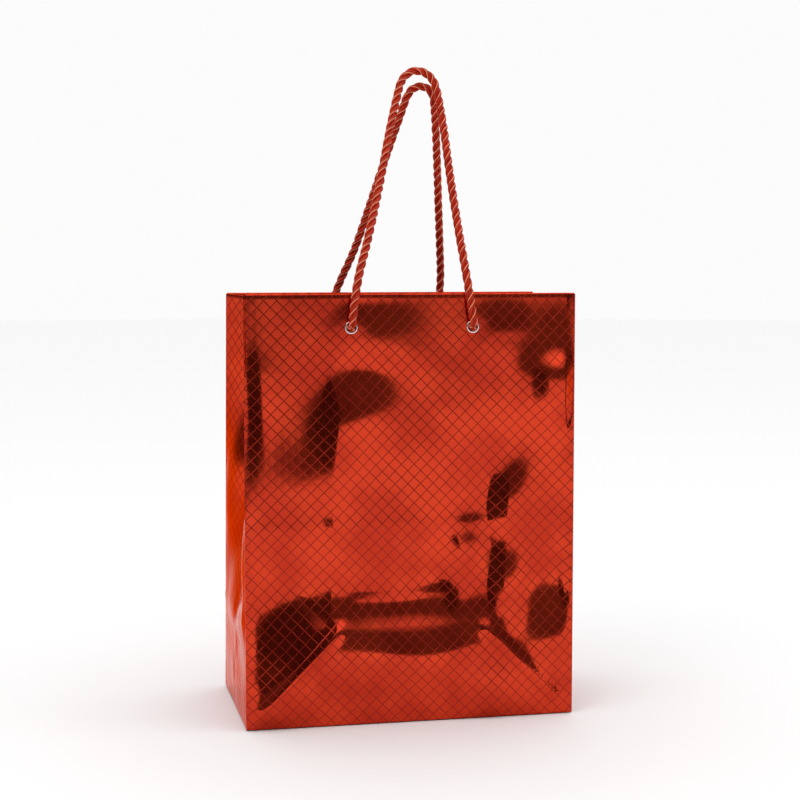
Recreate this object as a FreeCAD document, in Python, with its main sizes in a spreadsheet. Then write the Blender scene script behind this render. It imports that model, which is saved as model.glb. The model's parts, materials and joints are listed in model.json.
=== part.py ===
"""Folded foil-paper gift bag with two twisted-cord handles.

Frame: +Z up, origin on the floor under the middle of the base, front wall towards -Y.
The front wall stands upright, and the rear wall leans in so that the mouth is narrower than
the base. Each wall carries its stiffener card, its turned-in hem, two eyelets and one handle.
Lengths are in millimetres.
"""

import FreeCAD, Part

import math
import os

import Sketcher
from FreeCAD import Placement, Rotation, Vector

SIZES = [
    # alias, value, what it is
    ("bag_width", 180, "outside width of the front and rear walls"),
    ("bag_depth", 100, "outside depth of the base"),
    ("bag_height", 230, "height of the walls"),
    ("mouth_depth", 80, "outside depth between the walls at the rim"),
    ("paper", 0.4, "thickness of the laminated paper"),
    ("hem_depth", 40, "how far the rim is turned in"),
    ("stiffener", 0.8, "thickness of the card strip inside the hem"),
    ("stiffener_drop", 34, "height of the card strip"),
    ("stiffener_gap", 1.5, "room at each end of the card strip"),
    ("seam_width", 15, "width of the glued side seam"),
    ("flap_overlap", 12, "how far each long base flap passes the middle"),
    ("side_flap_reach", 40, "how far each short base flap reaches in"),
    ("flap_gap", 0.6, "room beside the short base flaps"),
    ("board", 1.2, "thickness of the loose base card"),
    ("board_gap", 1.6, "room all round the base card"),
    ("joint_gap", 0.3, "room between pieces that move on each other"),
    ("hole_spacing", 66, "distance between the two eyelets of a wall"),
    ("hole_drop", 17, "depth of the eyelets below the rim"),
    ("cord_size", 4.5, "diameter of the twisted cord"),
    ("eyelet_gap", 0.15, "room between the cord and the eyelet"),
    ("eyelet_wall", 0.3, "thickness of the eyelet's barrel"),
    ("flange_width", 0.7, "how far an eyelet's flange spreads past its barrel"),
    ("flange_height", 0.3, "thickness of an eyelet's flange"),
    ("cord_gap", 0.3, "room between the flange and the hanging cord"),
    ("knot_size", 10, "diameter of the knot behind each eyelet"),
    ("tail_length", 11, "cord left below a knot"),
]
KNOT_SEAT = 0.8  # where a knot is flat against its eyelet, as a share of its radius
TAIL_SHARE = 0.9  # a tail's thickness as a share of the cord's
SEED_RADIUS = 5  # size of an outline before its constraints are solved

# Handle routes: points between the two eyelets, from the left one to the right one.
FRONT_ROUTE = [
    (-31.4, -53.0, 234),
    (-22.4, -42.0, 259),
    (-12.8, -27.2, 290),
    (-4.9, -14.0, 319),
    (0.3, -6.9, 336),
    (3.9, -3.6, 347.8),
    (10.0, -2.9, 352.6),
    (17.4, -2.9, 352.0),
    (22.8, -3.6, 346.6),
    (24.6, -7.2, 335),
    (25.8, -14.0, 318),
    (26.4, -27.0, 290),
    (28.0, -41.6, 259),
    (29.9, -53.0, 234),
]
REAR_ROUTE = [
    (-25.5, 33.0, 234),
    (-16.9, 27.8, 253),
    (-9.4, 20.2, 279),
    (-1.0, 11.8, 308),
    (5.6, 5.0, 330),
    (9.2, 3.0, 341.2),
    (13.9, 2.7, 344.6),
    (19.6, 2.7, 344.2),
    (23.6, 3.0, 340.2),
    (24.9, 4.8, 329),
    (27.4, 10.8, 308),
    (30.4, 19.6, 280),
    (33.4, 27.8, 252),
    (35.2, 33.0, 233),
]
ARC_SHARE = 0.45  # share of the shorter run that each bend takes up

os.makedirs("parts", exist_ok=True)
doc = FreeCAD.newDocument("gift_bag")

# ---------------------------------------------------------------- sizes
sheet = doc.addObject("Spreadsheet::Sheet", "Sizes")
for row, (alias, value, meaning) in enumerate(SIZES, start=1):
    sheet.set(f"A{row}", str(value))
    sheet.setAlias(f"A{row}", alias)
    sheet.set(f"B{row}", meaning)
doc.recompute()
size = {alias: value for alias, value, _ in SIZES}

HALF_WIDTH = "(Sizes.bag_width / 2)"
INSIDE_X = "(Sizes.bag_width / 2 - Sizes.paper)"
INSIDE_Y = "(Sizes.bag_depth / 2 - Sizes.paper)"
HEM_Z = "(Sizes.bag_height - Sizes.hem_depth)"
LEAN = "asin((Sizes.bag_depth - Sizes.mouth_depth) / Sizes.bag_height)"
CREST_Y = f"({INSIDE_Y} - Sizes.bag_height * sin({LEAN}))"
CREST_Z = f"(Sizes.bag_height * cos({LEAN}))"
HOLE_Z = "(Sizes.bag_height - Sizes.hole_drop)"
HALF_SPACING = "(Sizes.hole_spacing / 2)"
EYELET_HOLES = [(f"-{HALF_SPACING}", HOLE_Z), (HALF_SPACING, HOLE_Z)]
BORE = "(Sizes.cord_size / 2 + Sizes.eyelet_gap)"
BARREL = f"({BORE} + Sizes.eyelet_wall)"
FLANGE = f"({BARREL} + Sizes.flange_width)"
HEM_FACE = "(Sizes.stiffener + Sizes.paper)"
FLAP_TOP = "(3 * Sizes.paper)"
AXIS_Y = "(Sizes.paper + Sizes.flange_height + Sizes.cord_gap + Sizes.cord_size / 2)"

# A wall's own frame has its origin at the foot of its inner face, +X along the wall as seen
# from outside, +Y inwards and +Z up the wall.
WALL_FRAME = {
    "front": f"placement(vector(0; -{INSIDE_Y}; 0); rotation(vector(0; 0; 1); 0))",
    "rear": (
        f"placement(vector(0; {INSIDE_Y}; 0); rotation(vector(0; 0; 1); 180))"
        f" * placement(vector(0; 0; 0); rotation(vector(1; 0; 0); -({LEAN})))"
    ),
}
sub_parts = []


def at(x, y, z, axis="0; 0; 1", angle="0"):
    """Expression for a placement at x, y, z, turned by angle about axis."""
    return f"placement(vector({x}; {y}; {z}); rotation(vector({axis}); {angle}))"


def plane_of(body, role):
    """Origin plane of a body."""
    return next(f for f in body.Origin.OriginFeatures if f.Role == role)


def fix_point(sketch, geometry, point, x, y, seed):
    """Ties a sketch point to the sketch's origin by two expressions."""
    for kind, rule, start in (("DistanceX", x, seed.x), ("DistanceY", y, seed.y)):
        made = sketch.addConstraint(Sketcher.Constraint(kind, -1, 1, geometry, point, start))
        sketch.setExpression(f"Constraints[{made}]", rule)


def outline(body, role, corners, seed_x=0):
    """Sketch of a closed outline on an origin plane, with its corners tied to expressions.

    The corners start on a small circle round seed_x, which keeps them in order.
    """
    sketch = body.newObject("Sketcher::SketchObject", f"{body.Name}_outline")
    sketch.AttachmentSupport = (plane_of(body, role), [""])
    sketch.MapMode = "FlatFace"
    count = len(corners)
    turns = [2 * math.pi * i / count for i in range(count)]
    seeds = [Vector(seed_x + SEED_RADIUS * math.cos(t), SEED_RADIUS * math.sin(t), 0) for t in turns]
    for i in range(count):
        sketch.addGeometry(Part.LineSegment(seeds[i], seeds[(i + 1) % count]))
    for i in range(count):
        sketch.addConstraint(Sketcher.Constraint("Coincident", i, 2, (i + 1) % count, 1))
    for i, (x, y) in enumerate(corners):
        fix_point(sketch, i, 1, x, y, seeds[i])
    return sketch


def plate(name, role, thickness, corners, holes=(), where=""):
    """Flat piece cut to an outline: a body with one sketch, padded by its thickness.

    corners and holes are pairs of expressions in the sketch's own plane, and each hole takes
    the barrel of an eyelet.
    """
    body = doc.addObject("PartDesign::Body", name)
    sketch = outline(body, role, corners)
    for i, (x, y) in enumerate(holes):
        seed = Vector(i, 0, 0)
        circle = sketch.addGeometry(Part.Circle(seed, Vector(0, 0, 1), 1))
        fix_point(sketch, circle, 3, x, y, seed)
        rule = sketch.addConstraint(Sketcher.Constraint("Radius", circle, 1))
        sketch.setExpression(f"Constraints[{rule}]", BARREL)
    pad = body.newObject("PartDesign::Pad", f"{name}_pad")
    pad.Profile = sketch
    pad.setExpression("Length", thickness)
    if where:
        body.setExpression("Placement", where)
    sub_parts.append(body)
    return body


def primitive(kind, name, where, **sizes):
    """Part primitive whose sizes and place are expressions."""
    made = doc.addObject(f"Part::{kind}", name)
    for prop, rule in sizes.items():
        made.setExpression(prop, rule)
    made.setExpression("Placement", where)
    return made


def rectangle(x0, z0, x1, z1):
    """Corners of an upright rectangle."""
    return [(x0, z0), (x1, z0), (x1, z1), (x0, z1)]


# ---------------------------------------------------------------- walls, cards and hems
def wall(side):
    """One long wall with its stiffener card and its turned-in hem.

    A plate drawn on the XZ plane grows towards -Y, so each sits on its inner face.
    """
    frame = WALL_FRAME[side]
    plate(
        f"{side}_wall", "XZ_Plane", "Sizes.paper",
        rectangle(f"-{HALF_WIDTH}", "0", HALF_WIDTH, "Sizes.bag_height"),
        EYELET_HOLES, frame,
    )
    hem_x = f"({INSIDE_X} - Sizes.paper)"
    card_x = f"({hem_x} - Sizes.stiffener_gap)"
    card_z = "Sizes.bag_height - Sizes.stiffener_drop"
    plate(
        f"{side}_stiffener", "XZ_Plane", "Sizes.stiffener",
        rectangle(f"-{card_x}", card_z, card_x, "Sizes.bag_height"),
        EYELET_HOLES, f"{frame} * {at(0, 'Sizes.stiffener', 0)}",
    )
    plate(
        f"{side}_hem", "XZ_Plane", "Sizes.paper",
        rectangle(f"-{hem_x}", HEM_Z, hem_x, "Sizes.bag_height"),
        EYELET_HOLES, f"{frame} * {at(0, HEM_FACE, 0)}",
    )


def gusset(side, face, hem_face):
    """One folded side: a triangular foot, two facets that meet at the centre crease, and a hem.

    face and hem_face are where the sheet and its hem start along X, growing towards +X.
    """
    front_foot, rear_foot = (f"-{INSIDE_Y}", "0"), (INSIDE_Y, "0")
    front_top, rear_top = (f"-{INSIDE_Y}", "Sizes.bag_height"), (CREST_Y, CREST_Z)
    crease_foot = ("0", INSIDE_Y)
    crease_top = (f"(({CREST_Y} - {INSIDE_Y}) / 2)", f"((Sizes.bag_height + {CREST_Z}) / 2)")
    facets = {
        "foot": [front_foot, rear_foot, crease_foot],
        "front_fold": [front_foot, crease_foot, crease_top, front_top],
        "rear_fold": [rear_foot, rear_top, crease_top, crease_foot],
    }
    for facet, corners in facets.items():
        plate(f"{side}_gusset_{facet}", "YZ_Plane", "Sizes.paper", corners, where=at(face, 0, 0))
    front_low = (f"-{INSIDE_Y}", HEM_Z)
    rear_low = (f"({INSIDE_Y} - {HEM_Z} * sin({LEAN}))", f"({HEM_Z} * cos({LEAN}))")
    plate(
        f"{side}_hem", "YZ_Plane", "Sizes.paper",
        [front_low, rear_low, rear_top, front_top], where=at(hem_face, 0, 0),
    )


wall("front")
wall("rear")
gusset("left", f"-{HALF_WIDTH}", f"-{INSIDE_X}")
gusset("right", INSIDE_X, f"({INSIDE_X} - Sizes.paper)")
plate(
    "side_seam_flap", "XZ_Plane", "Sizes.paper",
    rectangle(f"({INSIDE_X} - Sizes.seam_width)", f"({FLAP_TOP} + Sizes.flap_gap)", INSIDE_X, HEM_Z),
    where=f"{WALL_FRAME['rear']} * {at(0, 'Sizes.paper', 0)}",
)


# ---------------------------------------------------------------- base
def long_flap(name, layer, front, rear):
    """Long base flap of one paper layer, with its ends cut to the lean of the walls it meets."""
    low, high = f"({layer} * Sizes.paper)", f"(({layer} + 1) * Sizes.paper)"
    corners = [(front(low), low), (rear(low), low), (rear(high), high), (front(high), high)]
    plate(
        name, "YZ_Plane", f"2 * {INSIDE_X}", corners, where=at(f"-{INSIDE_X}", 0, 0)
    )


long_flap("base_flap_front", 0, lambda z: f"-{INSIDE_Y}", lambda z: "Sizes.flap_overlap")
long_flap(
    "base_flap_rear", 1,
    lambda z: "-Sizes.flap_overlap",
    lambda z: f"({INSIDE_Y} - {z} * tan({LEAN}))",
)
for side, sign in (("left", "-"), ("right", "")):
    wide = f"({INSIDE_Y} - Sizes.flap_gap)"
    narrow = f"({wide} - Sizes.side_flap_reach)"
    outer = f"{sign}{INSIDE_X}"
    inner = f"{sign}({INSIDE_X} - Sizes.side_flap_reach)"
    plate(
        f"base_flap_{side}", "XY_Plane", "Sizes.paper",
        [(outer, f"-{wide}"), (inner, f"-{narrow}"), (inner, narrow), (outer, wide)],
        where=at(0, 0, "2 * Sizes.paper"),
    )

BOARD_Z = f"({FLAP_TOP} + Sizes.joint_gap)"
BOARD_X = f"({INSIDE_X} - Sizes.board_gap)"
BOARD_Y = f"({INSIDE_Y} - Sizes.board_gap)"
base_card = primitive(
    "Box", "base_card", at(f"-{BOARD_X}", f"-{BOARD_Y}", BOARD_Z),
    Length=f"2 * {BOARD_X}", Width=f"2 * {BOARD_Y}", Height="Sizes.board",
)
sub_parts.append(base_card)


# ---------------------------------------------------------------- eyelets and knots
def eyelet(side, hand, x):
    """Rolled metal eyelet through the wall, the card and the hem, turned about its own axis."""
    body = doc.addObject("PartDesign::Body", f"{side}_{hand}_eyelet")
    rise = "Sizes.flange_height"
    stack = f"(2 * Sizes.paper + Sizes.stiffener + {rise})"
    top = f"({stack} + {rise})"
    corners = [
        (BORE, "0"), (FLANGE, "0"), (FLANGE, rise), (BARREL, rise),
        (BARREL, stack), (FLANGE, stack), (FLANGE, top), (BORE, top),
    ]
    turned = body.newObject("PartDesign::Revolution", f"{body.Name}_turned")
    turned.Profile = outline(body, "XY_Plane", corners, seed_x=3 * SEED_RADIUS)
    turned.ReferenceAxis = (turned.Profile[0], ["V_Axis"])
    turned.Angle = 360
    outer_face = f"-(Sizes.paper + {rise})"
    body.setExpression("Placement", f"{WALL_FRAME[side]} * {at(x, outer_face, HOLE_Z)}")
    sub_parts.append(body)


def knot(side, hand, x):
    """Knot behind an eyelet, with the cord's neck through the eyelet and its tail hanging down.

    Outside, the neck ends in a ball where the cord bends up into the handle.
    """
    name = f"{side}_{hand}_knot"
    frame = WALL_FRAME[side]
    seat = f"({HEM_FACE} + Sizes.flange_height)"
    radius = "(Sizes.knot_size / 2)"
    centre = f"({seat} + {KNOT_SEAT} * {radius})"
    ball = primitive(
        "Sphere", f"{name}_ball", f"{frame} * {at(x, centre, HOLE_Z, '1; 0; 0', '-90')}",
        Radius=radius, Angle1=f"-asin({KNOT_SEAT})",
    )
    neck = primitive(
        "Cylinder", f"{name}_neck", f"{frame} * {at(x, f'-{AXIS_Y}', HOLE_Z, '1; 0; 0', '-90')}",
        Radius="Sizes.cord_size / 2", Height=f"{AXIS_Y} + {centre}",
    )
    bend = primitive(
        "Sphere", f"{name}_bend", f"{frame} * {at(x, f'-{AXIS_Y}', HOLE_Z)}",
        Radius="Sizes.cord_size / 2",
    )
    tail = primitive(
        "Cylinder", f"{name}_tail",
        f"{frame} * {at(x, centre, f'({HOLE_Z} - {radius} - Sizes.tail_length)')}",
        Radius=f"{TAIL_SHARE} * Sizes.cord_size / 2", Height=f"Sizes.tail_length + {radius}",
    )
    made = doc.addObject("Part::MultiFuse", name)
    made.Shapes = [ball, neck, bend, tail]
    sub_parts.append(made)


# The rear wall's own +X points to the left, because its frame is turned to face outwards.
LEFT_HOLE = {"front": f"-{HALF_SPACING}", "rear": HALF_SPACING}
RIGHT_HOLE = {"front": HALF_SPACING, "rear": f"-{HALF_SPACING}"}
for side in ("front", "rear"):
    for hand, hole in (("left", LEFT_HOLE), ("right", RIGHT_HOLE)):
        eyelet(side, hand, hole[side])
        knot(side, hand, hole[side])
doc.recompute()


# ---------------------------------------------------------------- handles
def handle_start(side, hand, first_point):
    """Where the swinging cord begins, beside the bend at an eyelet and towards its first point."""
    bend = doc.getObject(f"{side}_{hand}_knot_bend")
    centre = bend.Placement.Base
    room = bend.Radius.Value + size["joint_gap"]
    return centre + (first_point - centre).normalize() * room


def rounded_path(points):
    """Straight runs joined by tangent arcs, with the arcs' radii."""
    edges, radii, start = [], [], points[0]
    for before, corner, after in zip(points, points[1:], points[2:]):
        back, ahead = before - corner, after - corner
        reach = ARC_SHARE * min(back.Length, ahead.Length)
        back.normalize()
        ahead.normalize()
        half_turn = (math.pi - back.getAngle(ahead)) / 2
        radius = reach / math.tan(half_turn)
        towards = (back + ahead).normalize()
        middle = corner + towards * (radius / math.cos(half_turn) - radius)
        first, last = corner + back * reach, corner + ahead * reach
        edges.append(Part.LineSegment(start, first).toShape())
        edges.append(Part.Arc(first, middle, last).toShape())
        radii.append(radius)
        start = last
    edges.append(Part.LineSegment(start, points[-1]).toShape())
    return Part.Wire(edges), radii


def handle(side, route):
    """Free loop of one handle, from just above its left eyelet to just above its right one."""
    points = [Vector(*p) for p in route]
    points.insert(0, handle_start(side, "left", points[0]))
    points.append(handle_start(side, "right", points[-1]))
    path, radii = rounded_path(points)
    section = Part.Wire(Part.makeCircle(size["cord_size"] / 2, points[0], points[1] - points[0]))
    tube = path.makePipeShell([section], True, False)
    made = doc.addObject("Part::Feature", f"{side}_handle_cord")
    made.Shape = tube
    made.Placement = Placement(Vector(), Rotation())
    expected = math.pi * (size["cord_size"] / 2) ** 2 * path.Length
    print(f"{side} handle: loop {path.Length:.1f} mm, bend radii", [round(r, 1) for r in radii])
    print(f"{side} handle: volume {tube.Volume:.1f}, section times length {expected:.1f}")
    sub_parts.append(made)


handle("front", FRONT_ROUTE)
handle("rear", REAR_ROUTE)
doc.recompute()

# ---------------------------------------------------------------- checks and export
for thing in doc.Objects:
    if {"Invalid", "Error"} & set(thing.State):
        raise RuntimeError(f"{thing.Name} failed: {thing.State}")
for made in sub_parts:
    made.Label = made.Name
    shape = made.Shape
    if shape.isNull() or not shape.isValid() or not shape.Solids or shape.Volume <= 0:
        raise RuntimeError(f"{made.Label} has no valid solid")
    shape.exportStep(f"parts/{made.Label}.step")
print(len(sub_parts), "sub-parts")
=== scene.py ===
"""Foil-paper gift bag with two twisted rope handles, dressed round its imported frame.

One sheet of foil paper, folded round the base and turned in at the rim, makes the walls and the
tucked sides. Rope handles pass through metal eyelets and end in knots inside. Lengths are in
metres, +Z is up, the origin is on the floor under the base, and the front wall faces -Y.
"""

import json
import logging
import math
from dataclasses import dataclass, field
from enum import Enum
from typing import Callable, Sequence

import bmesh
import bpy
import numpy as np
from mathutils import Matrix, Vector


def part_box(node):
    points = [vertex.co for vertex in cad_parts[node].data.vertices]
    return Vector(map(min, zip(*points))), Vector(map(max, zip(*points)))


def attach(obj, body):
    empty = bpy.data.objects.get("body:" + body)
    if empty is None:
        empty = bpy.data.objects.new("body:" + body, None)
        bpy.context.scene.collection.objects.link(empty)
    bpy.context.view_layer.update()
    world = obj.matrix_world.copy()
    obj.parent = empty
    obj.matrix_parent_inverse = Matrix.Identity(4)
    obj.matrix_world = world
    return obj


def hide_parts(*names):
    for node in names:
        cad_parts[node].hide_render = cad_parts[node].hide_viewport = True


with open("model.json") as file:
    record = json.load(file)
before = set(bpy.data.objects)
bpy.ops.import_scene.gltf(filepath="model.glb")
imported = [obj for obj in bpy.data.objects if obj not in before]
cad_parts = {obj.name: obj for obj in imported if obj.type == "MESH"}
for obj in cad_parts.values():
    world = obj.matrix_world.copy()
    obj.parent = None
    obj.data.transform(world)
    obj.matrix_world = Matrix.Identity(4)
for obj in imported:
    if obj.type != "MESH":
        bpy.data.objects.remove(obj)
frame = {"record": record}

log = logging.getLogger("gift_bag")
MM = 0.001
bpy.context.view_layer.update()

Colour = tuple[float, float, float]
Point = tuple[float, float, float]
Socket = bpy.types.NodeSocket
Value = Socket | bpy.types.ID | float | str | tuple


class Slot(Enum):
    """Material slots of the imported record."""

    FOIL = "foil_paper"
    CARD = "card"
    METAL = "eyelet_metal"
    CORD = "cord"


class Side(Enum):
    """The two long walls, each with one handle."""

    FRONT = "front"
    REAR = "rear"


HANDS = ("left", "right")


# ---------------------------------------------------------------- node building
class Nodes:
    """Small builder for shader and geometry node trees."""

    def __init__(self, tree: bpy.types.NodeTree) -> None:
        """Starts with the tree's own nodes removed."""
        self.tree = tree
        tree.nodes.clear()

    def add(self, kind: str, inputs: dict | None = None, **settings: object) -> bpy.types.Node:
        """Adds a node.

        Args:
            kind: The node's type name.
            inputs: Socket names or numbers, each with a value or a socket to link.
            settings: Properties of the node.

        Returns:
            The new node.
        """
        node = self.tree.nodes.new(kind)
        for name, value in settings.items():
            setattr(node, name, value)
        for key, value in (inputs or {}).items():
            self.feed(node.inputs[key], value)
        return node

    def feed(self, socket: Socket, value: Value) -> None:
        """Links a socket to another one, or sets its value."""
        if isinstance(value, bpy.types.NodeSocket):
            self.tree.links.new(value, socket)
        elif isinstance(value, tuple) and len(value) == 3 and socket.type == "RGBA":
            socket.default_value = (*value, 1.0)
        else:
            socket.default_value = value

    def math(self, operation: str, a: Value, b: Value = 0.0, c: Value = 0.0) -> Socket:
        """Returns the output of a math node."""
        return self.add("ShaderNodeMath", {0: a, 1: b, 2: c}, operation=operation).outputs[0]

    def vector(self, operation: str, a: Value, b: Value = (0.0, 0.0, 0.0)) -> Socket:
        """Returns the output of a vector math node."""
        return self.add("ShaderNodeVectorMath", {0: a, 1: b}, operation=operation).outputs[0]

    def scaled(self, vector: Value, factor: Value) -> Socket:
        """Returns a vector times a number."""
        node = self.add("ShaderNodeVectorMath", {0: vector}, operation="SCALE")
        self.feed(node.inputs["Scale"], factor)
        return node.outputs[0]

    def ramp(self, value: Value, low: float, high: float, start: float = 0.0, end: float = 1.0) -> Socket:
        """Returns a smooth step from start at low to end at high."""
        node = self.add("ShaderNodeMapRange", interpolation_type="SMOOTHSTEP")
        names = ("Value", "From Min", "From Max", "To Min", "To Max")
        for name, number in zip(names, (value, low, high, start, end)):
            self.feed(node.inputs[name], number)
        return node.outputs["Result"]

    def blend(self, factor: Value, a: Value, b: Value) -> Socket:
        """Returns a colour between a and b."""
        node = self.add("ShaderNodeMix", data_type="RGBA")
        for index, value in ((0, factor), (6, a), (7, b)):
            self.feed(node.inputs[index], value)
        return node.outputs[2]

    def noise(self, vector: Value, scale: Value, detail: float = 2.0, roughness: float = 0.5) -> Socket:
        """Returns the value of a noise texture."""
        inputs = {"Vector": vector, "Scale": scale, "Detail": detail, "Roughness": roughness}
        return self.add("ShaderNodeTexNoise", inputs).outputs[0]


def shader_group(name: str, inputs: dict[str, str], outputs: dict[str, str]) -> bpy.types.NodeTree:
    """Makes an empty shader node group with named sockets."""
    tree = bpy.data.node_groups.new(name, "ShaderNodeTree")
    for label, kind in inputs.items():
        tree.interface.new_socket(label, in_out="INPUT", socket_type=kind)
    for label, kind in outputs.items():
        tree.interface.new_socket(label, in_out="OUTPUT", socket_type=kind)
    return tree


FLOAT, VECTOR = "NodeSocketFloat", "NodeSocketVector"


def grain_group() -> bpy.types.NodeTree:
    """Fine grain and slow mottling that the paper, card and metal finishes share; the foil uses the slow
    mottling as a painted reflection.
    """
    inputs = {"Place": VECTOR, "Grain": FLOAT, "Mottle": FLOAT}
    tree = shader_group("grain", inputs, {"Fine": FLOAT, "Slow": FLOAT})
    build = Nodes(tree)
    given = build.add("NodeGroupInput").outputs
    made = build.add("NodeGroupOutput")
    fine = build.noise(build.scaled(given["Place"], given["Grain"]), 1.0, 4.0, 0.6)
    slow = build.noise(build.scaled(given["Place"], given["Mottle"]), 1.0, 2.0, 0.5)
    build.feed(made.inputs["Fine"], fine)
    build.feed(made.inputs["Slow"], slow)
    return tree


def lattice_group() -> bpy.types.NodeTree:
    """Pressed lattice of diamonds: a mask of its lines and the swell of each cell."""
    tree = shader_group(
        "diamond_lattice",
        {"Place": VECTOR, "Pitch": FLOAT, "Line": FLOAT},
        {"Lines": FLOAT, "Swell": FLOAT},
    )
    build = Nodes(tree)
    given = build.add("NodeGroupInput").outputs
    made = build.add("NodeGroupOutput")
    place = build.add("ShaderNodeSeparateXYZ", {0: given["Place"]}).outputs
    masks, swells = [], []
    for operation in ("ADD", "SUBTRACT"):
        across = build.math("DIVIDE", build.math(operation, place[0], place[1]), given["Pitch"])
        cell = build.math("PINGPONG", across, 0.5)
        far = build.math("MULTIPLY", cell, given["Pitch"])
        masks.append(build.ramp(far, build.math("MULTIPLY", given["Line"], 0.35), given["Line"], 1.0, 0.0))
        swells.append(build.math("SMOOTH_MIN", cell, 0.42, 0.3))
    build.feed(made.inputs["Lines"], build.math("MAXIMUM", *masks))
    build.feed(made.inputs["Swell"], build.math("MULTIPLY", *swells))
    return tree


def material(name: str, build_surface: Callable[[Nodes], bpy.types.Node]) -> bpy.types.Material:
    """Makes a node material whose surface is the shader that build_surface returns."""
    made = bpy.data.materials.new(name)
    made.use_nodes = True
    build = Nodes(made.node_tree)
    surface = build_surface(build)
    build.add("ShaderNodeOutputMaterial", {"Surface": surface.outputs[0]})
    return made


# ---------------------------------------------------------------- finishes
@dataclass(frozen=True)
class FoilFinish:
    """Red metallised paper pressed with a lattice of diamonds, its colour carrying a painted reflection: slow
    darker and lighter red patches.
    """

    lattice: bpy.types.NodeTree
    grain: bpy.types.NodeTree
    # bright, deep and mottle_scale set a painted reflection: slow noise moves the foil's colour between the
    # two reds in patches, standing in for dark surroundings seen in the foil.
    bright: Colour = (0.64, 0.050, 0.018)
    deep: Colour = (0.50, 0.034, 0.014)
    line: Colour = (0.26, 0.018, 0.014)
    edge_tint: Colour = (1.0, 0.46, 0.38)
    pitch: float = 7 * MM
    line_width: float = 0.46 * MM
    press: float = 0.06 * MM
    press_strength: float = 0.45
    swell: float = 1.6
    grain_relief: float = 0.12
    gloss: float = 0.11
    line_roughness: float = 0.24
    line_cover: float = 0.75
    grain_scale: float = 1900.0
    mottle_scale: float = 34.0

    def make(self) -> bpy.types.Material:
        """Returns the foil material, laid out on the flat sheet's own coordinates."""
        return material("foil", self.surface)

    def surface(self, build: Nodes) -> bpy.types.Node:
        """Returns the shader of the foil."""
        place = build.add("ShaderNodeAttribute", attribute_name="sheet_place").outputs["Vector"]
        lattice = build.add("ShaderNodeGroup", node_tree=self.lattice)
        build.feed(lattice.inputs["Place"], place)
        build.feed(lattice.inputs["Pitch"], self.pitch)
        build.feed(lattice.inputs["Line"], self.line_width)
        grain = build.add("ShaderNodeGroup", node_tree=self.grain)
        build.feed(grain.inputs["Place"], place)
        build.feed(grain.inputs["Grain"], self.grain_scale)
        build.feed(grain.inputs["Mottle"], self.mottle_scale)
        lines = lattice.outputs["Lines"]
        # Painted reflection: the slow noise darkens the cells from bright to deep red in patches.
        cells_with_painted_reflection = build.blend(build.ramp(grain.outputs["Slow"], 0.36, 0.66), self.deep, self.bright)
        gloss = build.ramp(grain.outputs["Fine"], 0.3, 0.7, self.gloss * 0.75, self.gloss * 1.35)
        rough = build.math("ADD", gloss, build.math("MULTIPLY", lines, self.line_roughness))
        swell = build.math("MULTIPLY", lattice.outputs["Swell"], self.swell)
        fine = build.math("MULTIPLY", grain.outputs["Fine"], self.grain_relief)
        relief = build.math("ADD", build.math("SUBTRACT", swell, lines), fine)
        pressed = {"Strength": self.press_strength, "Distance": self.press, "Height": relief}
        bump = build.add("ShaderNodeBump", pressed)
        return build.add(
            "ShaderNodeBsdfPrincipled",
            {
                "Base Color": build.blend(build.math("MULTIPLY", lines, self.line_cover), cells_with_painted_reflection, self.line),
                "Metallic": 1.0,
                "Roughness": rough,
                "Specular Tint": self.edge_tint,
                "Normal": bump.outputs[0],
            },
        )


@dataclass(frozen=True)
class PlainFinish:
    """Paper, card or metal with grain and a slow change of tone."""

    name: str
    grain: bpy.types.NodeTree
    light: Colour
    dark: Colour
    roughness: float
    grain_scale: float
    mottle_scale: float
    relief: float
    metallic: float = 0.0
    spread: float = 0.06

    def make(self) -> bpy.types.Material:
        """Returns the material, laid out on the object's own coordinates."""
        return material(self.name, self.surface)

    def surface(self, build: Nodes) -> bpy.types.Node:
        """Returns the shader of the finish."""
        place = build.add("ShaderNodeTexCoord").outputs["Object"]
        grain = build.add("ShaderNodeGroup", node_tree=self.grain)
        build.feed(grain.inputs["Place"], place)
        build.feed(grain.inputs["Grain"], self.grain_scale)
        build.feed(grain.inputs["Mottle"], self.mottle_scale)
        fine, slow = grain.outputs["Fine"], grain.outputs["Slow"]
        tone = build.math("ADD", build.math("MULTIPLY", fine, 0.5), build.math("MULTIPLY", slow, 0.5))
        rough = build.ramp(fine, 0.3, 0.7, self.roughness - self.spread, self.roughness + self.spread)
        bump = build.add("ShaderNodeBump", {"Strength": 0.6, "Distance": self.relief, "Height": fine})
        return build.add(
            "ShaderNodeBsdfPrincipled",
            {
                "Base Color": build.blend(build.ramp(tone, 0.35, 0.65), self.dark, self.light),
                "Metallic": self.metallic,
                "Roughness": rough,
                "Normal": bump.outputs[0],
            },
        )


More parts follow.
